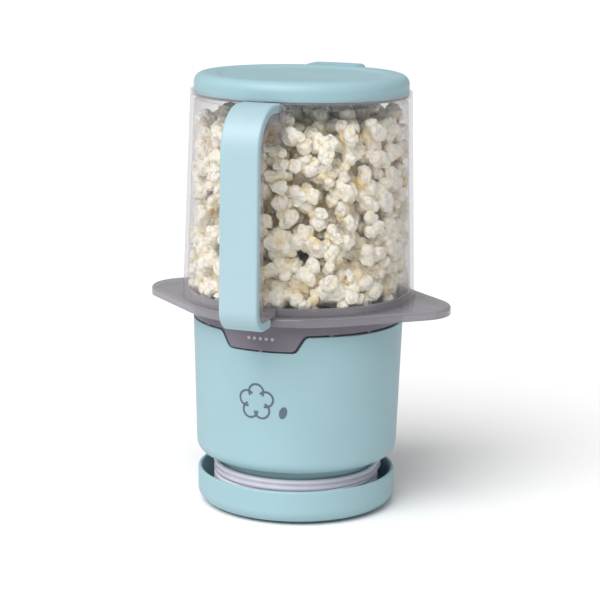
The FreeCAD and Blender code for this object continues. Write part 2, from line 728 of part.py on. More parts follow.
# ---------------------------------------------------------------- catch plate
def lemon(grow, low, high):
    """The plate's plan, a circle drawn out to two blunt ears, as a slab."""
    big, tip, reach = PLATE_R + grow, EAR_TIP_R + grow, EAR_REACH - EAR_TIP_R
    lean = math.acos((big - tip) / reach)
    edges = []
    for side in (1, -1):
        def at(radius, centre, angle, s=side):
            return V(s * (centre + radius * math.cos(angle)), s * radius * math.sin(angle), low)
        edges.append(Part.Arc(at(tip, reach, -lean), at(tip, reach, 0), at(tip, reach, lean)).toShape())
        edges.append(Part.LineSegment(at(tip, reach, lean), at(big, 0, lean)).toShape())
        side_arc = Part.Arc(at(big, 0, lean), at(big, 0, math.pi / 2), at(big, 0, math.pi - lean))
        edges.append(side_arc.toShape())
        edges.append(Part.LineSegment(at(big, 0, math.pi - lean), at(-tip, -reach, -lean)).toShape())
    return Part.Face(Part.Wire(Part.__sortEdges__(edges))).extrude(V(0, 0, high - low))


def chute_plate():
    """The smoky catch plate: a skirted rim with two ears, a seat below and the bowl's ring above."""
    plate = lemon(0, PLATE_BOTTOM, PLATE_TOP)
    plate = softened(plate, 2.2, lambda e: e.BoundBox.ZMin > PLATE_TOP - 0.01)
    plate = plate.cut(lemon(-PLATE_WALL, PLATE_BOTTOM - 1, PLATE_TOP - PLATE_WALL))
    seat_r = SHELL_R_HIGH - 1.2
    seat = ring(seat_r, seat_r - PLATE_WALL, PLATE_BOTTOM, PLATE_TOP - 2.0)
    low, high = PLATE_TOP - 0.4, PLATE_TOP + 5.2
    locator = turned([(71.4, low), (73.4, low), (73.4, high, 0.8), (71.4, high, 0.8)])
    return plate.fuse(seat).fuse(locator).cut(rod(CHUTE_R, 100, 200)).removeSplitter()


def chute_tube():
    """The chimney in the middle of the catch plate, flared at its top, that popped corn rises through."""
    inner = CHUTE_R - CHUTE_WALL
    bend_z = CHUTE_TOP - 5.4
    return turned([
        (CHUTE_R, CHUTE_BOTTOM, 0.5), (CHUTE_R, bend_z, 3.0), (CHUTE_R + 3.4, CHUTE_TOP - 1.4),
        (CHUTE_R + 2.2, CHUTE_TOP), (inner, bend_z + 0.8, 3.0), (inner, CHUTE_BOTTOM, 0.5),
    ])


# ---------------------------------------------------------------- bowl, handle and lid
BOWL_FOOT = [(BOWL_R_LOW + 0.5, BOWL_BOTTOM), (BOWL_R_LOW - 0.1, BOWL_BOTTOM + 5.0)]


def bowl_side(grow):
    """The bowl's tapered outer side as a solid plug, larger all round by grow."""
    (foot_r, foot_z), (waist_r, waist_z) = BOWL_FOOT
    below = foot_z - 9
    return turned([
        (0, below), (foot_r + grow, below), (foot_r + grow, foot_z),
        (waist_r + grow, waist_z, 8.0), (BOWL_R_HIGH + grow, BOWL_RIM), (0, BOWL_RIM),
    ])


def bowl():
    """The clear bowl, upside down in use: a tapered wall, a ledge inside its rim and a neck."""
    (foot_r, foot_z), (waist_r, waist_z) = BOWL_FOOT
    neck_inner, under = NECK_R - BOWL_WALL, SHOULDER_Z - BOWL_WALL
    return turned([
        (foot_r, foot_z, 0.5), (waist_r, waist_z, 8.0), (BOWL_R_HIGH, BOWL_RIM, 0.5),
        (RIM_INNER_R, BOWL_RIM, 0.5), (RIM_INNER_R, SHOULDER_Z), (NECK_R, SHOULDER_Z, 0.6),
        (NECK_R, NECK_TOP, 0.8), (neck_inner, NECK_TOP, 0.8), (neck_inner, under, 1.0),
        (BOWL_R_HIGH - BOWL_WALL, under, 1.6), (BOWL_R_LOW - BOWL_WALL, foot_z),
    ])


def handle_core():
    """The clear hoop that is moulded with the bowl and carries the strap, with a pad at its upper root."""
    outer = HANDLE_REACH - HANDLE_THICK - 0.1
    top, low = HANDLE_TOP - HANDLE_THICK - 0.1, HANDLE_BOTTOM + HANDLE_THICK + 0.1
    inner, under = outer - CORE_THICK, top - CORE_THICK
    core = slab_yz([
        (66.0, top), (outer, top, 21.9), (outer, low, 7.9), (68.0, low),
        (68.0, low + CORE_THICK), (inner, low + CORE_THICK, 5.0),
        (inner, under, 17.3), (74.0, under, 5.0), (73.0, under - 9.0), (66.0, under - 9.0),
    ], HANDLE_WIDTH - 0.6)
    half, foot, crown = PAD_WIDTH / 2, under - 16.0, HANDLE_TOP - 0.5
    outline = [(-half, foot, 8.0), (half, foot, 8.0), (half, crown, 4.0), (-half, crown, 4.0)]
    pad = slab_xz(outline, -90, -60).common(bowl_side(PAD_THICK))
    pad = pad.cut(block(HANDLE_WIDTH + 0.4, 60, 12, V(0, -80, top + 6.0)))
    return core.fuse(pad).cut(bowl_side(0.01)).removeSplitter()


def handle_cover():
    """The coloured strap that clips over the handle core, with its upper end against the bowl's wall."""
    thick, root = HANDLE_THICK, BOWL_R_HIGH - 3.0
    strap = slab_yz([
        (root, HANDLE_TOP), (HANDLE_REACH, HANDLE_TOP, 28.0), (HANDLE_REACH, HANDLE_BOTTOM, 14.0),
        (83.6, HANDLE_BOTTOM, 2.6), (83.6, HANDLE_BOTTOM + thick, 1.6),
        (HANDLE_REACH - thick, HANDLE_BOTTOM + thick, 8.0), (HANDLE_REACH - thick, HANDLE_TOP - thick, 22.0),
        (root, HANDLE_TOP - thick),
    ], HANDLE_WIDTH)
    side = HANDLE_WIDTH / 2
    rim = lambda e: abs(abs(e.BoundBox.XMin) - side) < 1e-6 and e.BoundBox.XLength < 1e-6
    faces_out = lambda box: (box.YMin < 0.01 - HANDLE_REACH or box.ZMax > HANDLE_TOP - 0.01
                             or box.ZMin < HANDLE_BOTTOM + 0.01)
    strap = softened(strap, 1.5, lambda e: rim(e) and faces_out(e.BoundBox))
    return strap.cut(bowl_side(0.1)).removeSplitter()


def lid():
    """The push-on lid: a rolled rim, a shallow dished top and a lift tab opposite the handle."""
    skirt_r, dish = NECK_R + 0.4, LID_CREST - 1.5
    cap = turned([
        (skirt_r, LID_BOTTOM, 0.4), (LID_R, LID_BOTTOM, 0.8), (LID_R + 0.1, LID_CREST, LID_CORNER),
        (57.0, LID_CREST, 12.0), (52.0, dish, 8.0), (0, dish), (0, dish - LID_WALL),
        (54.0, dish - LID_WALL, 6.0), (58.0, LID_CREST - LID_WALL, 6.0), (skirt_r, LID_CREST - LID_WALL, 4.0),
    ])
    low, high, slope = LID_CREST - 2.6, LID_CREST + 1.0, 2.4
    tab = turned([(60.0, low), (TAB_REACH, low, 1.5), (TAB_REACH, high, 1.8), (60.0, high)])
    outline = [(-TAB_HALF_WIDTH - slope, low - 1), (TAB_HALF_WIDTH + slope, low - 1),
               (TAB_HALF_WIDTH, high, 3.0), (-TAB_HALF_WIDTH, high, 3.0)]
    tab = tab.common(slab_xz(outline, 0, 90)).cut(rod(62.0, low - 1, LID_CREST - 0.6))
    return cap.fuse(tab).removeSplitter()


def lid_gasket():
    """A soft ring between the lid's edge and the bowl's shoulder."""
    inner, outer = NECK_R + 1.0, LID_R - 0.5
    low, high = SHOULDER_Z + 0.3, LID_BOTTOM - 0.02
    return turned([(inner, low, 0.3), (outer, low, 0.4), (outer, high), (inner, high)])


# ---------------------------------------------------------------- build
os.makedirs("parts", exist_ok=True)
save("base_tray", base_tray())
save("rubber_feet", *rubber_feet())
save("cord_spool", cord_spool())
save("strain_relief", strain_relief())
save("power_cord_coil", power_cord_coil())
save("power_cord_tail", power_cord_tail())
save("plug_body", plug_body())
save("plug_prongs", *plug_prongs())
save("base_shell", base_shell())
save("top_collar", top_collar())
save("chamber_insulator", chamber_insulator())
save("popping_chamber", popping_chamber())
save("heater_cup", heater_cup())
save("heater_coil", heater_coil())
save("mica_frame", *mica_frame())
save("fan_housing", fan_housing())
save("fan_impeller", fan_impeller())
save("motor_can", motor_can())
save("motor_magnets", motor_magnets())
save("motor_end_cap", motor_end_cap())
save("motor_bushes", *motor_bushes())
save("motor_armature", motor_armature())
save("motor_shaft", motor_shaft())
save("rectifier_board", rectifier_board())
save("rectifier_diodes", *rectifier_diodes())
save("thermostat", thermostat())
save("thermal_fuse", thermal_fuse())
save("internal_wires", *internal_wires())
save("tray_screws", *tray_screws())
save("collar_screws", *collar_screws())
save("motor_screws", *motor_screws())
save("chute_plate", chute_plate())
save("chute_tube", chute_tube())
save("bowl", bowl())
save("handle_core", handle_core())
save("handle_cover", handle_cover())
save("lid", lid())
save("lid_gasket", lid_gasket())
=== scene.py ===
# Looks for the hot-air popcorn maker: materials, wound cord, popcorn, printed marks, floor, lamp and camera.

import json
import math

import bmesh
import bpy
import numpy as np
from mathutils import Matrix, Vector


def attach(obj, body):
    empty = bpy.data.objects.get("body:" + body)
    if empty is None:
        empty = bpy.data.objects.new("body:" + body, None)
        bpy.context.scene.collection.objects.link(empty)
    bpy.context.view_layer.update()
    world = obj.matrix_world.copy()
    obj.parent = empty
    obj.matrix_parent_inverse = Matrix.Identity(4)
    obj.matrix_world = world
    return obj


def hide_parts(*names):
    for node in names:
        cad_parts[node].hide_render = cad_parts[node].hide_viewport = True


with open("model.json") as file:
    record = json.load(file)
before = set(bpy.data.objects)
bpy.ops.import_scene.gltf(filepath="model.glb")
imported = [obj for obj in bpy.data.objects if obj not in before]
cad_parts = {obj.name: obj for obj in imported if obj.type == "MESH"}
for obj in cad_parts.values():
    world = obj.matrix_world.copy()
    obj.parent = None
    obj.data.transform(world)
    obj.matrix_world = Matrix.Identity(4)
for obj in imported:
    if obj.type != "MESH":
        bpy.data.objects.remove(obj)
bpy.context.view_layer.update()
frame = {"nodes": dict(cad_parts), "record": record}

# ---------------------------------------------------------------- driving values, in metres
CORD_WIDTH = 0.0078
CORD_CORE = 0.0040
LOOP_RADIUS = 0.0535
LOOP_FLAT_Y = 0.038
LOOP_CORNER = 0.030
TURN_RISE = 0.008
CORD_START_Z = 0.0081
RISE_ANGLE = 200
WIND_FROM, WIND_TO, WIND_STEP = 118, 1088, 10
GROMMET_TIP = (0.006, 0.0314, 0.0098)
GROMMET_ROUTE = [GROMMET_TIP, (0.001, 0.0315, 0.0097), (-0.005, 0.0336, 0.0090), (-0.0115, 0.0366, 0.0083)]
TAIL_ROUTE = [(0.0496, 0.0302, 0.0236), (0.042, 0.0405, 0.0216), (0.0325, 0.048, 0.0182),
              (0.023, 0.051, 0.0144), (0.0141, 0.051, 0.0144)]

BOWL_FLOOR_Z = 0.1408
BOWL_INNER_LOW = 0.0738
BOWL_INNER_HIGH = 0.0695
SHOULDER_Z = 0.2702
NECK_INNER = 0.0644
NECK_TOP_Z = 0.2800
CHUTE_OUTER = 0.0375
CHUTE_TOP_Z = 0.1625
PLATE_RING_TOP = 0.1474
PLATE_RING_INNER = 0.0711

FLAKES = 430
FLAKE_KINDS = 30
FLAKE_POINTS = 1400
FLAKE_RADII = (0.0096, 0.0134)
BATCHES = 8
HEAP_TOP = 0.266
PRESS_ROUNDS = 140
PRESSED_APART = 0.80
PUSH_SHARE = 0.30
SEEN_FROM_RADIUS, SEEN_FROM_Z, SEEN_BELOW_Z = 0.047, 0.243, 0.160
CORE_POINTS, CORE_LUMPS, CORE_RADIUS = 5000, 420, 0.052
CORE_FLOOR_GAP, CORE_TOP_GAP = 0.026, 0.012
RING_RADIUS, RING_HALF_WIDTH, RING_Z, RING_HALF_HEIGHT = 0.0525, 0.0125, 0.1585, 0.0155

SHELL_LOW = (0.0666, 0.0345)
SHELL_HIGH = (0.0695, 0.1263)
PANEL_RADIUS = 0.0695
MARK_LIFT = 0.00012
BODY_MARK_Z, PANEL_MARK_Z = 0.0825, 0.1245
DOT_RADIUS, DOT_PITCH = 0.0011, 0.004


# ---------------------------------------------------------------- materials
def linear(red, green, blue):
    """Display colour values, 0 to 255, as the linear ones that shaders take."""
    def one(v):
        v /= 255
        return v / 12.92 if v <= 0.04045 else ((v + 0.055) / 1.055) ** 2.4
    return (one(red), one(green), one(blue), 1.0)


def toned(colour, factor):
    return tuple(min(1.0, c * factor) for c in colour[:3]) + (1.0,)


def noise(nodes, links, scale, detail=3.0, stretch=None):
    """A noise field over the part's own coordinates."""
    place = nodes.new("ShaderNodeTexCoord")
    field = nodes.new("ShaderNodeTexNoise")
    field.inputs["Scale"].default_value = scale
    field.inputs["Detail"].default_value = detail
    source = place.outputs["Object"]
    if stretch:
        mapping = nodes.new("ShaderNodeMapping")
        mapping.inputs["Scale"].default_value = stretch
        links.new(source, mapping.inputs["Vector"])
        source = mapping.outputs["Vector"]
    links.new(source, field.inputs["Vector"])
    return field.outputs["Fac"]


def spread_over(nodes, links, source, low, high):
    """The field's middle stretched to run from low to high."""
    span = nodes.new("ShaderNodeMapRange")
    span.inputs["From Min"].default_value = 0.3
    span.inputs["From Max"].default_value = 0.7
    span.inputs["To Min"].default_value = low
    span.inputs["To Max"].default_value = high
    links.new(source, span.inputs["Value"])
    return span.outputs["Result"]


def two_tone(nodes, links, source, dark, light):
    """A colour between two, chosen by the field."""
    ramp = nodes.new("ShaderNodeValToRGB")
    ramp.color_ramp.elements[0].position = 0.3
    ramp.color_ramp.elements[1].position = 0.7
    ramp.color_ramp.elements[0].color = dark
    ramp.color_ramp.elements[1].color = light
    links.new(source, ramp.inputs["Fac"])
    return ramp.outputs["Color"]


def solid(name, colour, variation=0.04, patch=60.0, gloss=(0.42, 0.5), grain=0.0, grain_scale=2500.0,
          metal=0.0, stretch=None):
    """A Principled material whose colour and gloss wander a little, with an optional fine grain."""
    material = bpy.data.materials.new(name)
    material.use_nodes = True
    nodes, links = material.node_tree.nodes, material.node_tree.links
    shader = nodes["Principled BSDF"]
    field = noise(nodes, links, patch, stretch=stretch)
    tone = two_tone(nodes, links, field, toned(colour, 1 - variation), toned(colour, 1 + variation))
    links.new(tone, shader.inputs["Base Color"])
    links.new(spread_over(nodes, links, field, *gloss), shader.inputs["Roughness"])
    shader.inputs["Metallic"].default_value = metal
    if grain:
        bump = nodes.new("ShaderNodeBump")
        bump.inputs["Strength"].default_value = grain
        bump.inputs["Distance"].default_value = 0.0002
        links.new(noise(nodes, links, grain_scale, 2.0, stretch), bump.inputs["Height"])
        links.new(bump.outputs["Normal"], shader.inputs["Normal"])
    return material


def see_through(name, colour, facing_tint, edge_tint, facing_share, edge_share, blend, gloss, coat=0.0):
    """Thin clear plastic: light passes, tinted more and shining more where the surface turns away."""
    material = bpy.data.materials.new(name)
    material.use_nodes = True
    nodes, links = material.node_tree.nodes, material.node_tree.links
    shader = nodes["Principled BSDF"]
    field = noise(nodes, links, 25.0)
    tone = two_tone(nodes, links, field, toned(colour, 0.95), toned(colour, 1.05))
    links.new(tone, shader.inputs["Base Color"])
    links.new(spread_over(nodes, links, field, *gloss), shader.inputs["Roughness"])
    shader.inputs["Coat Weight"].default_value = coat
    turn = nodes.new("ShaderNodeLayerWeight")
    turn.inputs["Blend"].default_value = blend
    clear = nodes.new("ShaderNodeBsdfTransparent")
    tint = nodes.new("ShaderNodeValToRGB")
    tint.color_ramp.elements[0].color = facing_tint
    tint.color_ramp.elements[1].color = edge_tint
    links.new(turn.outputs["Facing"], tint.inputs["Fac"])
    links.new(tint.outputs["Color"], clear.inputs["Color"])
    share = nodes.new("ShaderNodeMapRange")
    share.inputs["To Min"].default_value = facing_share
    share.inputs["To Max"].default_value = edge_share
    links.new(turn.outputs["Facing"], share.inputs["Value"])
    mix = nodes.new("ShaderNodeMixShader")
    links.new(share.outputs["Result"], mix.inputs["Fac"])
    links.new(clear.outputs["BSDF"], mix.inputs[1])
    links.new(shader.outputs["BSDF"], mix.inputs[2])
    links.new(mix.outputs["Shader"], nodes["Material Output"].inputs["Surface"])
    return material


def puffs(nodes, links, scale):
    """Irregular cells, as distance from the middle of each: small puffs with creases between them."""
    where = nodes.new("ShaderNodeTexCoord")
    wander = nodes.new("ShaderNodeTexNoise")
    wander.inputs["Scale"].default_value = 260.0
    links.new(where.outputs["Object"], wander.inputs["Vector"])
    shift = nodes.new("ShaderNodeVectorMath")
    shift.operation = "MULTIPLY_ADD"
    shift.inputs[1].default_value = (0.004, 0.004, 0.004)
    links.new(wander.outputs["Color"], shift.inputs[0])
    links.new(where.outputs["Object"], shift.inputs[2])
    cells = nodes.new("ShaderNodeTexVoronoi")
    cells.feature = "SMOOTH_F1"
    cells.inputs["Scale"].default_value = scale
    cells.inputs["Smoothness"].default_value = 0.25
    links.new(shift.outputs["Vector"], cells.inputs["Vector"])
    return cells.outputs["Distance"]


def bumped(nodes, links, height, strength, distance, before=None):
    bump = nodes.new("ShaderNodeBump")
    bump.inputs["Strength"].default_value = strength
    bump.inputs["Distance"].default_value = distance
    links.new(height, bump.inputs["Height"])
    if before:
        links.new(before, bump.inputs["Normal"])
    return bump.outputs["Normal"]


def popped_corn():
    """Cream flakes with small puffs, painted shade (cream to yellow) in their recesses and creases, with
    brown flecks of hull.
    """
    material = bpy.data.materials.new("popped_corn")
    material.use_nodes = True
    nodes, links = material.node_tree.nodes, material.node_tree.links
    shader = nodes["Principled BSDF"]
    # Painted shade and hull colour: the point value read here runs from the cream face, through painted
    # cream-to-yellow shade in recesses and creases, to the hull's own yellow-brown.
    shade_and_hull = nodes.new("ShaderNodeAttribute")
    shade_and_hull.attribute_name = "shade_and_hull"
    ramp = nodes.new("ShaderNodeValToRGB")
    ramp.color_ramp.elements[0].color = linear(255, 250, 236)
    ramp.color_ramp.elements[1].color = linear(128, 74, 30)
    for position, colour in ((0.4, (252, 242, 218)), (0.66, (243, 221, 164)), (0.88, (206, 142, 62))):
        ramp.color_ramp.elements.new(position).color = linear(*colour)
    links.new(shade_and_hull.outputs["Fac"], ramp.inputs["Fac"])
    # Painted shade: the colour darkens towards each cell's edge, in the creases between the small puffs.
    cells = puffs(nodes, links, 230.0)
    crease = nodes.new("ShaderNodeValToRGB")
    crease.color_ramp.elements[0].position = 0.5
    crease.color_ramp.elements[0].color = (1.0, 1.0, 1.0, 1.0)
    crease.color_ramp.elements[1].position = 0.95
    crease.color_ramp.elements[1].color = linear(246, 236, 212)
    links.new(cells, crease.inputs["Fac"])
    mix = nodes.new("ShaderNodeMix")
    mix.data_type = "RGBA"
    mix.blend_type = "MULTIPLY"
    mix.inputs["Factor"].default_value = 1.0
    links.new(ramp.outputs["Color"], mix.inputs["A"])
    links.new(crease.outputs["Color"], mix.inputs["B"])
    links.new(mix.outputs["Result"], shader.inputs["Base Color"])
    shader.inputs["Roughness"].default_value = 0.65
    shader.inputs["Subsurface Weight"].default_value = 0.3
    shader.inputs["Subsurface Radius"].default_value = (0.004, 0.003, 0.002)
    shader.inputs["Subsurface Scale"].default_value = 0.4
    downhill = nodes.new("ShaderNodeMath")
    downhill.operation = "MULTIPLY"
    downhill.inputs[1].default_value = -1.0
    links.new(cells, downhill.inputs[0])
    round_puffs = bumped(nodes, links, downhill.outputs["Value"], 1.0, 0.0022)
    wrinkles = bumped(nodes, links, noise(nodes, links, 700.0, 5.0), 0.5, 0.0008, round_puffs)
    links.new(wrinkles, shader.inputs["Normal"])
    return material


BLUE = linear(145, 177, 185)
# Painted sheen: the strap's colour is a lighter, less saturated copy of the body's blue, standing in for the
# sheen on the same plastic.
STRAP_BLUE_PAINTED_SHEEN = linear(156, 183, 191)
MATERIALS = {
    "blue_plastic": solid("blue_plastic", BLUE, 0.02, 30.0, (0.46, 0.52), 0.12, 3000.0),
    "collar_grey": solid("collar_grey", linear(110, 104, 115), 0.04, 50.0, (0.36, 0.44), 0.15, 3000.0),
    "dark_plastic": solid("dark_plastic", linear(38, 38, 41), 0.08, 60.0, (0.5, 0.6), 0.2, 2500.0),
    "rubber": solid("rubber", linear(32, 31, 31), 0.1, 90.0, (0.7, 0.82), 0.3, 2000.0),
    "seal_grey": solid("seal_grey", linear(118, 118, 124), 0.05, 90.0, (0.55, 0.65), 0.1),
    "cord_grey": solid("cord_grey", linear(226, 224, 236), 0.03, 120.0, (0.42, 0.52), 0.15, 1800.0),
    "brass": solid("brass", linear(214, 178, 104), 0.06, 150.0, (0.25, 0.36), 0.1, 1200.0, metal=1.0),
    "steel": solid("steel", linear(178, 178, 180), 0.05, 150.0, (0.26, 0.4), 0.1, 900.0, metal=1.0),
    "aluminium": solid("aluminium", linear(205, 205, 206), 0.04, 60.0, (0.28, 0.4), 0.15, 700.0, metal=1.0,
                       stretch=(1.0, 1.0, 0.1)),
    "mica": solid("mica", linear(206, 192, 158), 0.12, 200.0, (0.3, 0.5), 0.3, 900.0,
                  stretch=(1.0, 1.0, 4.0)),
    "ferrite": solid("ferrite", linear(48, 48, 52), 0.1, 200.0, (0.45, 0.6), 0.2, 1500.0),
    "board": solid("board", linear(52, 104, 62), 0.1, 300.0, (0.3, 0.42), 0.1, 1500.0),
    "wire": solid("wire", linear(228, 226, 220), 0.04, 200.0, (0.4, 0.5), 0.05),
    "smoky_plastic": see_through("smoky_plastic", linear(160, 156, 164), (0.59, 0.575, 0.60, 1.0),
                                 (0.36, 0.35, 0.37, 1.0), 0.46, 0.80, 0.4, (0.05, 0.09), coat=0.6),
    "clear_plastic": see_through("clear_plastic", linear(205, 203, 206), (0.992, 0.99, 0.992, 1.0),
                                 (0.80, 0.79, 0.80, 1.0), 0.02, 0.34, 0.25, (0.05, 0.09)),
}
SPECIAL = {
    # Painted sheen in the strap's lighter colour; its lower roughness is real gloss.
    "handle_cover": solid("strap_plastic_painted_sheen", STRAP_BLUE_PAINTED_SHEEN, 0.02, 30.0, (0.40, 0.46), 0.12, 3000.0),
    "handle_core": see_through("clear_hoop", linear(205, 203, 207), (0.95, 0.945, 0.95, 1.0),
                               (0.70, 0.69, 0.71, 1.0), 0.08, 0.5, 0.35, (0.05, 0.09)),
}


def dress(node, material):
    obj = frame["nodes"][node]
    obj.data.materials.clear()
    obj.data.materials.append(SPECIAL.get(node, MATERIALS[material]))


for part in frame["record"]["subparts"]:
    dress(part["node"], part["material_slot"])


# ---------------------------------------------------------------- wound cord
def loop_radius(angle):
    """Distance from the axis to the cord's middle, for a circle flattened at the back (90 degrees)."""
    off = abs((angle - 90 + 180) % 360 - 180)
    corner_x = math.sqrt((LOOP_RADIUS - LOOP_CORNER) ** 2 - (LOOP_FLAT_Y - LOOP_CORNER) ** 2)
    corner_y = LOOP_FLAT_Y - LOOP_CORNER
    flat_half = math.degrees(math.atan2(corner_x, LOOP_FLAT_Y))
    arc_half = math.degrees(math.atan2(corner_x, corner_y))
    if off >= arc_half:
        return LOOP_RADIUS
    if off <= flat_half:
        return LOOP_FLAT_Y / math.cos(math.radians(off))
    reach = LOOP_RADIUS - LOOP_CORNER
    between = math.radians(arc_half - off)
    return reach * math.cos(between) + math.sqrt(LOOP_CORNER ** 2 - (reach * math.sin(between)) ** 2)


def loop_height(angle):
    """Level across the front of each turn, rising a cord's width over the right and the back."""
    turn, into = divmod(angle - 270, 360)
    rise = min(1.0, max(0.0, into / RISE_ANGLE))
    rise = rise * rise * (3 - 2 * rise)
    return CORD_START_Z + TURN_RISE * max(0.0, turn + rise)


def cord_route():
    """Control points from the grommet, three times round the front, and on to the plug."""
    turns = []
    for angle in range(WIND_FROM, WIND_TO, WIND_STEP):
        radius, a = loop_radius(angle), math.radians(angle)
        height = min(loop_height(angle), CORD_START_Z + 2 * TURN_RISE)
        turns.append((radius * math.cos(a), radius * math.sin(a), height))
    return GROMMET_ROUTE + turns + TAIL_ROUTE


def smooth_line(points, name):
    """Points along the NURBS spline that has these control points."""
    curve = bpy.data.curves.new(name, "CURVE")
    curve.dimensions = "3D"
    curve.resolution_u = 5
    spline = curve.splines.new("NURBS")
    spline.points.add(len(points) - 1)
    for slot, point in zip(spline.points, points):
        slot.co = (*point, 1.0)
    spline.order_u = 3
    spline.use_endpoint_u = True
    holder = bpy.data.objects.new(name, curve)
    line = bpy.data.meshes.new_from_object(holder)
    read = [v.co.copy() for v in line.vertices]
    bpy.data.objects.remove(holder)
    return read


def twin_profile():
    """Two round cores side by side, as (across, up) points round the outline."""
    core = CORD_CORE / 2
    apart = (CORD_WIDTH - CORD_CORE) / 2
    waist_angle = 40
    upper = [(core * math.cos(math.radians(a)), apart + core * math.sin(math.radians(a)))
             for a in range(-waist_angle, 181 + waist_angle, 20)]
    return upper + [(-x, -y) for x, y in upper]


def sweep(name, line, profile):
    """A closed tube with that profile along the line, its profile's up kept as upright as it can be."""
    line = [p for i, p in enumerate(line) if i == 0 or (p - line[i - 1]).length > 1e-5]
    verts, faces, count = [], [], len(profile)
    for i, p in enumerate(line):
        ahead = (line[min(i + 1, len(line) - 1)] - line[max(i - 1, 0)]).normalized()
        side = ahead.cross(Vector((0, 0, 1))).normalized()
        up = side.cross(ahead)
        verts += [p + side * across + up * rise for across, rise in profile]
    for i in range(len(line) - 1):
        for j in range(count):
            a, b = i * count + j, i * count + (j + 1) % count
            faces.append((a, b, b + count, a + count))
    faces.append(tuple(range(count))[::-1])
    faces.append(tuple(range((len(line) - 1) * count, len(line) * count)))
    obj = new_mesh(name, verts, faces)
    return obj, line


def new_mesh(name, verts, faces):
    mesh = bpy.data.meshes.new(name)
    mesh.from_pydata(verts, [], faces)
    mesh.polygons.foreach_set("use_smooth", [True] * len(mesh.polygons))
    mesh.validate()
    obj = bpy.data.objects.new(name, mesh)
    bpy.context.scene.collection.objects.link(obj)
    return obj


def wound_cord():
    line = smooth_line(cord_route(), "cord_line")
    cord, path = sweep("power_cord", line, twin_profile())
    cord.data.materials.append(MATERIALS["cord_grey"])
    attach(cord, "base")
    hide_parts("power_cord_coil", "power_cord_tail")


wound_cord()


# ---------------------------------------------------------------- popcorn
def ball(count):
    """Evenly spread unit directions, and the faces that close them to a ball."""
    made = bmesh.new()
    golden = math.pi * (3 - math.sqrt(5))
    for i in range(count):
        z = 1 - 2 * (i + 0.5) / count
        out = math.sqrt(1 - z * z)
        made.verts.new((out * math.cos(golden * i), out * math.sin(golden * i), z))
    bmesh.ops.convex_hull(made, input=made.verts)
    bmesh.ops.recalc_face_normals(made, faces=made.faces)
    made.verts.index_update()
    verts = np.array([v.co[:] for v in made.verts])
    faces = np.array([[v.index for v in f.verts] for f in made.faces])
    made.free()
    return verts, faces


def unit(rows):
    return rows / np.linalg.norm(rows, axis=-1, keepdims=True)


def turned_at_random(rng):
    """A rotation matrix, evenly spread over all turns."""
    q = rng.normal(size=4)
    w, x, y, z = q / np.linalg.norm(q)
    return np.array([
        [1 - 2 * (y * y + z * z), 2 * (x * y - z * w), 2 * (x * z + y * w)],
        [2 * (x * y + z * w), 1 - 2 * (x * x + z * z), 2 * (y * z - x * w)],
        [2 * (x * z - y * w), 2 * (y * z + x * w), 1 - 2 * (x * x + y * y)],
    ])


def skin_of(directions, centres, sizes, least):
    """How far each direction reaches through a cluster of puffs, and how near it is to a crease."""
    along = directions @ centres.T
    under = sizes ** 2 - (centres ** 2).sum(axis=1) + along ** 2
    reach = np.where(under > 0, along + np.sqrt(np.maximum(under, 0)), 0.0)
    reach = np.maximum(reach, least)
    ranked = np.partition(reach, -2, axis=1)
    return ranked[:, -1], np.clip(1 - (ranked[:, -1] - ranked[:, -2]) / 0.05, 0, 1)


def flake_shape(rng, directions):
    """A popped flake of about unit radius: lobes, each a bunch of small puffs, round a hull that may show."""
    lobes = int(rng.integers(5, 9))
    lobe_way = unit(rng.normal(size=(lobes, 3)))
    lobe_out = rng.uniform(0.36, 0.62, size=lobes)
    lobe_size = rng.uniform(0.26, 0.40, size=lobes)
    centres, sizes = [lobe_way * lobe_out[:, None]], [lobe_size]
    for way, out, size in zip(lobe_way, lobe_out, lobe_size):
        puffs = int(rng.integers(5, 9))
        off = unit(rng.normal(size=(puffs, 3)) + way * 0.8)
        centres.append(way * out + off * size * 0.74)
        sizes.append(rng.uniform(0.38, 0.58, size=puffs) * size)
    skin, crease = skin_of(directions, np.concatenate(centres), np.concatenate(sizes), 0.30)
    waves = rng.normal(size=(8, 3)) * rng.uniform(9, 22, size=(8, 1))
    ripple = np.sin(directions @ waves.T + rng.uniform(0, 6.3, size=8)).mean(axis=1)
    hull_way = unit(rng.normal(size=3))
    hull = np.clip((directions @ hull_way - 0.80) / 0.12, 0, 1) * (rng.uniform() < 0.6)
    skin = skin * (1 + 0.05 * ripple) * (1 - 0.18 * hull)
    # Painted shade: recessed directions and creases get a higher colour value, darker and yellower; the
    # hull's patch is its own colour.
    low = np.clip((0.66 - skin) / 0.36, 0, 1)
    shade_and_hull = np.clip(0.42 * low + 0.16 * crease + hull * (0.62 + 0.5 * ripple), 0, 1)
    squash = np.array([1.0, rng.uniform(0.82, 1.0), rng.uniform(0.7, 0.92)])
    return directions * skin[:, None] * squash / 0.84, shade_and_hull


def bowl_inner(z):
    """The bowl's inner radius at that height."""
    share = np.clip((z - BOWL_FLOOR_Z) / (SHOULDER_Z - BOWL_FLOOR_Z), 0, 1)
    wall = BOWL_INNER_LOW + (BOWL_INNER_HIGH - BOWL_INNER_LOW) * share
    wall = np.where(z < PLATE_RING_TOP, PLATE_RING_INNER, wall)
    return np.where(z > SHOULDER_Z - 0.001, NECK_INNER, wall)


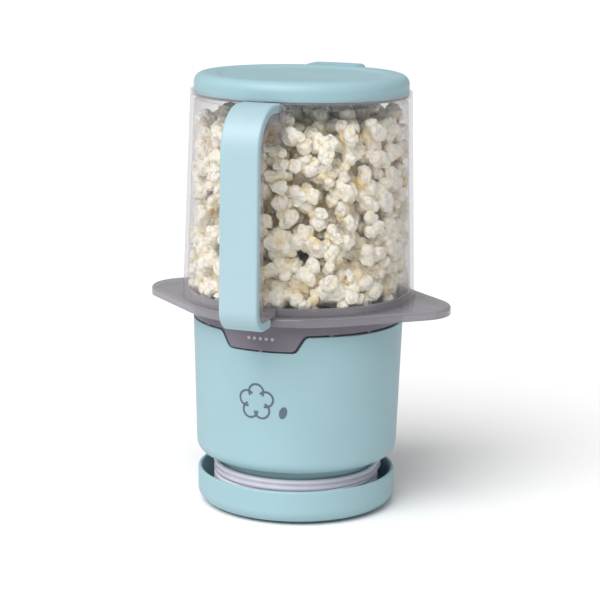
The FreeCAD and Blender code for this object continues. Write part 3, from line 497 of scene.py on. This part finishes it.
def kept_inside(points, margin):
    """Points moved, where they must be, to lie inside the bowl and clear of the chute by margin."""
    p = points.copy()
    margin = np.broadcast_to(margin, len(p))
    p[:, 2] = np.clip(p[:, 2], BOWL_FLOOR_Z + margin, NECK_TOP_Z - margin)
    out = np.hypot(p[:, 0], p[:, 1]) + 1e-9
    limit = bowl_inner(p[:, 2]) - margin
    scale = np.where(out > limit, limit / out, 1.0)
    beside = p[:, 2] < CHUTE_TOP_Z
    inner = CHUTE_OUTER + margin
    scale = np.where(beside & (out < inner), inner / out, scale)
    p[:, :2] *= scale[:, None]
    return p


def heap_top(x, y):
    """The height of the popcorn's uneven top."""
    return HEAP_TOP + 0.003 * np.sin(38 * x + 1.0) + 0.003 * np.cos(45 * y) - 2.2 * (x ** 2 + y ** 2)


def settled(rng):
    """Places and radii of flakes that fill the bowl, pushed apart until they only just press together."""
    radii = rng.uniform(*FLAKE_RADII, size=FLAKES)
    angle = rng.uniform(0, 2 * math.pi, size=FLAKES)
    out = 0.066 * np.sqrt(rng.uniform(0, 1, size=FLAKES))
    height = rng.uniform(BOWL_FLOOR_Z, 0.262, size=FLAKES)
    place = np.stack([out * np.cos(angle), out * np.sin(angle), height], axis=1)
    for _ in range(PRESS_ROUNDS):
        gap = place[:, None, :] - place[None, :, :]
        far = np.linalg.norm(gap, axis=2) + 1e-9
        wanted = PRESSED_APART * (radii[:, None] + radii[None, :])
        push = np.where(far < wanted, wanted - far, 0.0)
        np.fill_diagonal(push, 0.0)
        place = place + PUSH_SHARE * ((gap / far[:, :, None]) * push[:, :, None]).sum(axis=1)
        top = heap_top(place[:, 0], place[:, 1]) - 0.5 * radii
        place[:, 2] = np.minimum(place[:, 2], top)
        place = kept_inside(place, 0.78 * radii)
    return place, radii


def flakes_piece(name, shapes, material):
    """One piece made of closed shapes, each given as its points, faces and per-point colour values (painted
    shade in recesses and creases, and hull colour).
    """
    verts, ends, shade_and_hull_values, start = [], [], [], 0
    for points, faces, shade_and_hull in shapes:
        verts.append(points)
        ends.append(faces + start)
        shade_and_hull_values.append(shade_and_hull)
        start += len(points)
    obj = new_mesh(name, np.concatenate(verts).tolist(), np.concatenate(ends).tolist())
    layer = obj.data.attributes.new("shade_and_hull", "FLOAT", "POINT")
    layer.data.foreach_set("value", np.concatenate(shade_and_hull_values).astype(np.float32))
    obj.data.materials.append(material)
    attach(obj, "bowl")


def hidden_heap(rng):
    """The lumpy middle of the heap, which shows only in the gaps between the outer flakes."""
    directions, faces = ball(CORE_POINTS)
    spots = unit(rng.normal(size=(CORE_LUMPS, 3)))
    skin, crease = skin_of(directions, spots * 0.90, rng.uniform(0.08, 0.15, size=CORE_LUMPS), 0.88)
    foot = BOWL_FLOOR_Z + CORE_FLOOR_GAP
    middle, half = (foot + HEAP_TOP) / 2, (HEAP_TOP - CORE_TOP_GAP - foot) / 2
    square = 1 / np.maximum(np.abs(directions[:, 2]), np.hypot(directions[:, 0], directions[:, 1])) ** 0.7
    points = directions * (skin * square)[:, None] * np.array([CORE_RADIUS, CORE_RADIUS, half])
    # Painted shade: coloured like the flakes' recesses, darker still in its creases.
    return points + np.array([0, 0, middle]), faces, np.clip(0.42 + 0.2 * crease, 0, 1)


def hidden_ring():
    """The same between the chute and the wall, below the chute's top."""
    around, across = 200, 30
    u, v = np.meshgrid(np.linspace(0, 2 * math.pi, around, endpoint=False),
                       np.linspace(0, 2 * math.pi, across, endpoint=False), indexing="ij")
    lumps = 0.86 + 0.14 * np.sin(31 * u + 3 * np.sin(2 * v)) * np.sin(2 * v + 5 * np.sin(3 * u))
    out = RING_RADIUS + RING_HALF_WIDTH * lumps * np.cos(v)
    height = RING_Z + RING_HALF_HEIGHT * lumps * np.sin(v)
    points = np.stack([out * np.cos(u), out * np.sin(u), height], axis=-1).reshape(-1, 3)
    i, j = np.meshgrid(np.arange(around) * across, np.arange(across), indexing="ij")
    ahead, above = np.roll(i, -1, axis=0), np.roll(j, -1, axis=1)
    corners = np.stack([i + j, ahead + j, ahead + above, i + above], axis=-1)
    # Painted shade: coloured like the flakes' recesses.
    return points, corners.reshape(-1, 4), np.full(around * across, 0.45)


def popcorn():
    """The flakes that can be seen: those near the wall, the top or the bottom, in batches by height."""
    rng = np.random.default_rng(11)
    directions, faces = ball(FLAKE_POINTS)
    kinds = [flake_shape(rng, directions) for _ in range(FLAKE_KINDS)]
    place, radii = settled(rng)
    out = np.hypot(place[:, 0], place[:, 1])
    seen = (out > SEEN_FROM_RADIUS) | (place[:, 2] > SEEN_FROM_Z) | (place[:, 2] < SEEN_BELOW_Z)
    order = [i for i in np.argsort(place[:, 2]) if seen[i]]
    material = popped_corn()
    for b in range(BATCHES):
        batch = []
        for i in order[b * len(order) // BATCHES:(b + 1) * len(order) // BATCHES]:
            shape, shade_and_hull = kinds[int(rng.integers(len(kinds)))]
            points = shape @ turned_at_random(rng).T * radii[i] * 1.08 + place[i]
            # The painted shade and hull colour, scaled at random for each flake.
            batch.append((kept_inside(points, 0.0002), faces, np.clip(shade_and_hull * rng.uniform(0.5, 1.3), 0, 1)))
        flakes_piece(f"popcorn_{b + 1}", batch, material)
    flakes_piece("popcorn_middle", [hidden_heap(rng)], material)
    flakes_piece("popcorn_low_middle", [hidden_ring()], material)


popcorn()


# ---------------------------------------------------------------- printed marks
def shell_radius(z):
    share = (z - SHELL_LOW[1]) / (SHELL_HIGH[1] - SHELL_LOW[1])
    return SHELL_LOW[0] + (SHELL_HIGH[0] - SHELL_LOW[0]) * share


def wrapped(name, outlines, middle_z, radius_at, material, body):
    """Flat (across, up) outlines laid on the round front of the base as a thin print."""
    made = bmesh.new()
    for outline in outlines:
        made.faces.new([made.verts.new((x, 0, z)) for x, z in outline])
    bmesh.ops.triangulate(made, faces=made.faces[:])
    bmesh.ops.subdivide_edges(made, edges=made.edges[:], cuts=1)
    for v in made.verts:
        z = middle_z + v.co.z
        radius = radius_at(z) + MARK_LIFT
        turn = v.co.x / radius
        v.co = Vector((radius * math.sin(turn), -radius * math.cos(turn), z))
    mesh = bpy.data.meshes.new(name)
    made.to_mesh(mesh)
    made.free()
    obj = bpy.data.objects.new(name, mesh)
    bpy.context.scene.collection.objects.link(obj)
    obj.data.materials.append(material)
    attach(obj, body)


def disc(x, z, radius, points=24):
    return [(x + radius * math.cos(2 * math.pi * i / points), z + radius * math.sin(2 * math.pi * i / points))
            for i in range(points)]


def band(path, width):
    """Short quadrilaterals along a line of (across, up) points, as a stroke of that width."""
    sides = []
    for i, (x, z) in enumerate(path):
        x0, z0 = path[max(i - 1, 0)]
        x1, z1 = path[min(i + 1, len(path) - 1)]
        length = math.hypot(x1 - x0, z1 - z0)
        nx, nz = -(z1 - z0) / length * width / 2, (x1 - x0) / length * width / 2
        sides.append(((x + nx, z + nz), (x - nx, z - nz)))
    return [[a, b, d, c] for (a, b), (c, d) in zip(sides, sides[1:])]


def flake_mark():
    """A line drawing of one popped flake, with a kernel beside it."""
    centre, petals, reach, bulge = (-0.003, 0.0), 5, 0.0068, 0.0050
    strokes = []
    for i in range(petals):
        turn = math.radians(90 + 360 / petals * i)
        cx, cz = centre[0] + reach * math.cos(turn), centre[1] + reach * math.sin(turn)
        open_half = math.radians(122)
        arc = [(cx + bulge * math.cos(turn + a), cz + bulge * math.sin(turn + a))
               for a in np.linspace(-open_half, open_half, 22)]
        strokes += band(arc, 0.0014)
    kernel = [(0.0150 + 0.0027 * math.sin(t), -0.0060 + 0.0039 * math.cos(t) + 0.0010 * math.sin(t))
              for t in np.linspace(0, 2 * math.pi, 25)]
    return strokes + [kernel[:-1]]


print_grey = solid("print_grey", linear(84, 96, 106), 0.06, 300.0, (0.5, 0.6), 0.05)
print_silver = solid("print_silver", linear(178, 174, 180), 0.05, 300.0, (0.3, 0.4), 0.05, metal=0.3)
wrapped("body_mark", flake_mark(), BODY_MARK_Z, shell_radius, print_grey, "base")
wrapped("panel_mark", [disc(DOT_PITCH * step, 0.0, DOT_RADIUS) for step in (-2, -1, 0, 1, 2)], PANEL_MARK_Z,
        lambda z: PANEL_RADIUS, print_silver, "base")


# ---------------------------------------------------------------- floor, lamp and camera
FLOOR_HALF = 60.0
AIR_STRENGTH = 0.45
KEY_AZIMUTH, KEY_ELEVATION, KEY_SOFTNESS, KEY_STRENGTH = -12, 49, 50, 3.35
CAMERA_TURN, CAMERA_DOWN, CAMERA_ROLL = (math.radians(a) for a in (20, 11.72, 0.86))
CAMERA_DISTANCE, CAMERA_HEIGHT, CAMERA_BESIDE = 1.2757, 0.401, 0.001
CAMERA_LENS = 117.6


def floor():
    h = FLOOR_HALF
    obj = new_mesh("studio_floor", [(-h, -h, 0), (h, -h, 0), (h, h, 0), (-h, h, 0)], [(0, 1, 2, 3)])
    obj.data.materials.append(solid("studio_white", (0.88, 0.88, 0.88, 1.0), 0.003, 0.7, (0.85, 0.9)))


def sun(name, azimuth, elevation, softness, strength):
    """A broad, even lamp far away; azimuth 0 is in front of the handle and 90 to its right."""
    data = bpy.data.lights.new(name, "SUN")
    data.energy = strength
    data.angle = math.radians(softness)
    obj = bpy.data.objects.new(name, data)
    bpy.context.scene.collection.objects.link(obj)
    a, e = math.radians(azimuth), math.radians(elevation)
    from_lamp = -Vector((math.sin(a) * math.cos(e), -math.cos(a) * math.cos(e), math.sin(e)))
    obj.rotation_euler = from_lamp.to_track_quat("-Z", "Y").to_euler()


def studio():
    floor()
    world = bpy.data.worlds.new("studio_air")
    world.use_nodes = True
    world.node_tree.nodes["Background"].inputs["Color"].default_value = (1.0, 1.0, 1.0, 1.0)
    world.node_tree.nodes["Background"].inputs["Strength"].default_value = AIR_STRENGTH
    bpy.context.scene.world = world
    sun("key", KEY_AZIMUTH, KEY_ELEVATION, KEY_SOFTNESS, KEY_STRENGTH)


def camera():
    """A long lens a little above the lid, looking a little down, to the right of the handle."""
    data = bpy.data.cameras.new("camera")
    data.sensor_width = 36.0
    data.lens = CAMERA_LENS
    data.clip_start, data.clip_end = 0.05, 100.0
    obj = bpy.data.objects.new("camera", data)
    bpy.context.scene.collection.objects.link(obj)
    aim = Matrix.Rotation(CAMERA_TURN, 4, "Z") @ Matrix.Rotation(math.pi / 2 - CAMERA_DOWN, 4, "X")
    pose = aim @ Matrix.Rotation(CAMERA_ROLL, 4, "Z")
    across, along = math.cos(CAMERA_TURN), math.sin(CAMERA_TURN)
    pose.translation = (CAMERA_DISTANCE * along + CAMERA_BESIDE * across,
                        CAMERA_BESIDE * along - CAMERA_DISTANCE * across, CAMERA_HEIGHT)
    obj.matrix_world = pose
    bpy.context.scene.camera = obj


studio()
camera()
bpy.context.scene.view_settings.view_transform = "Standard"
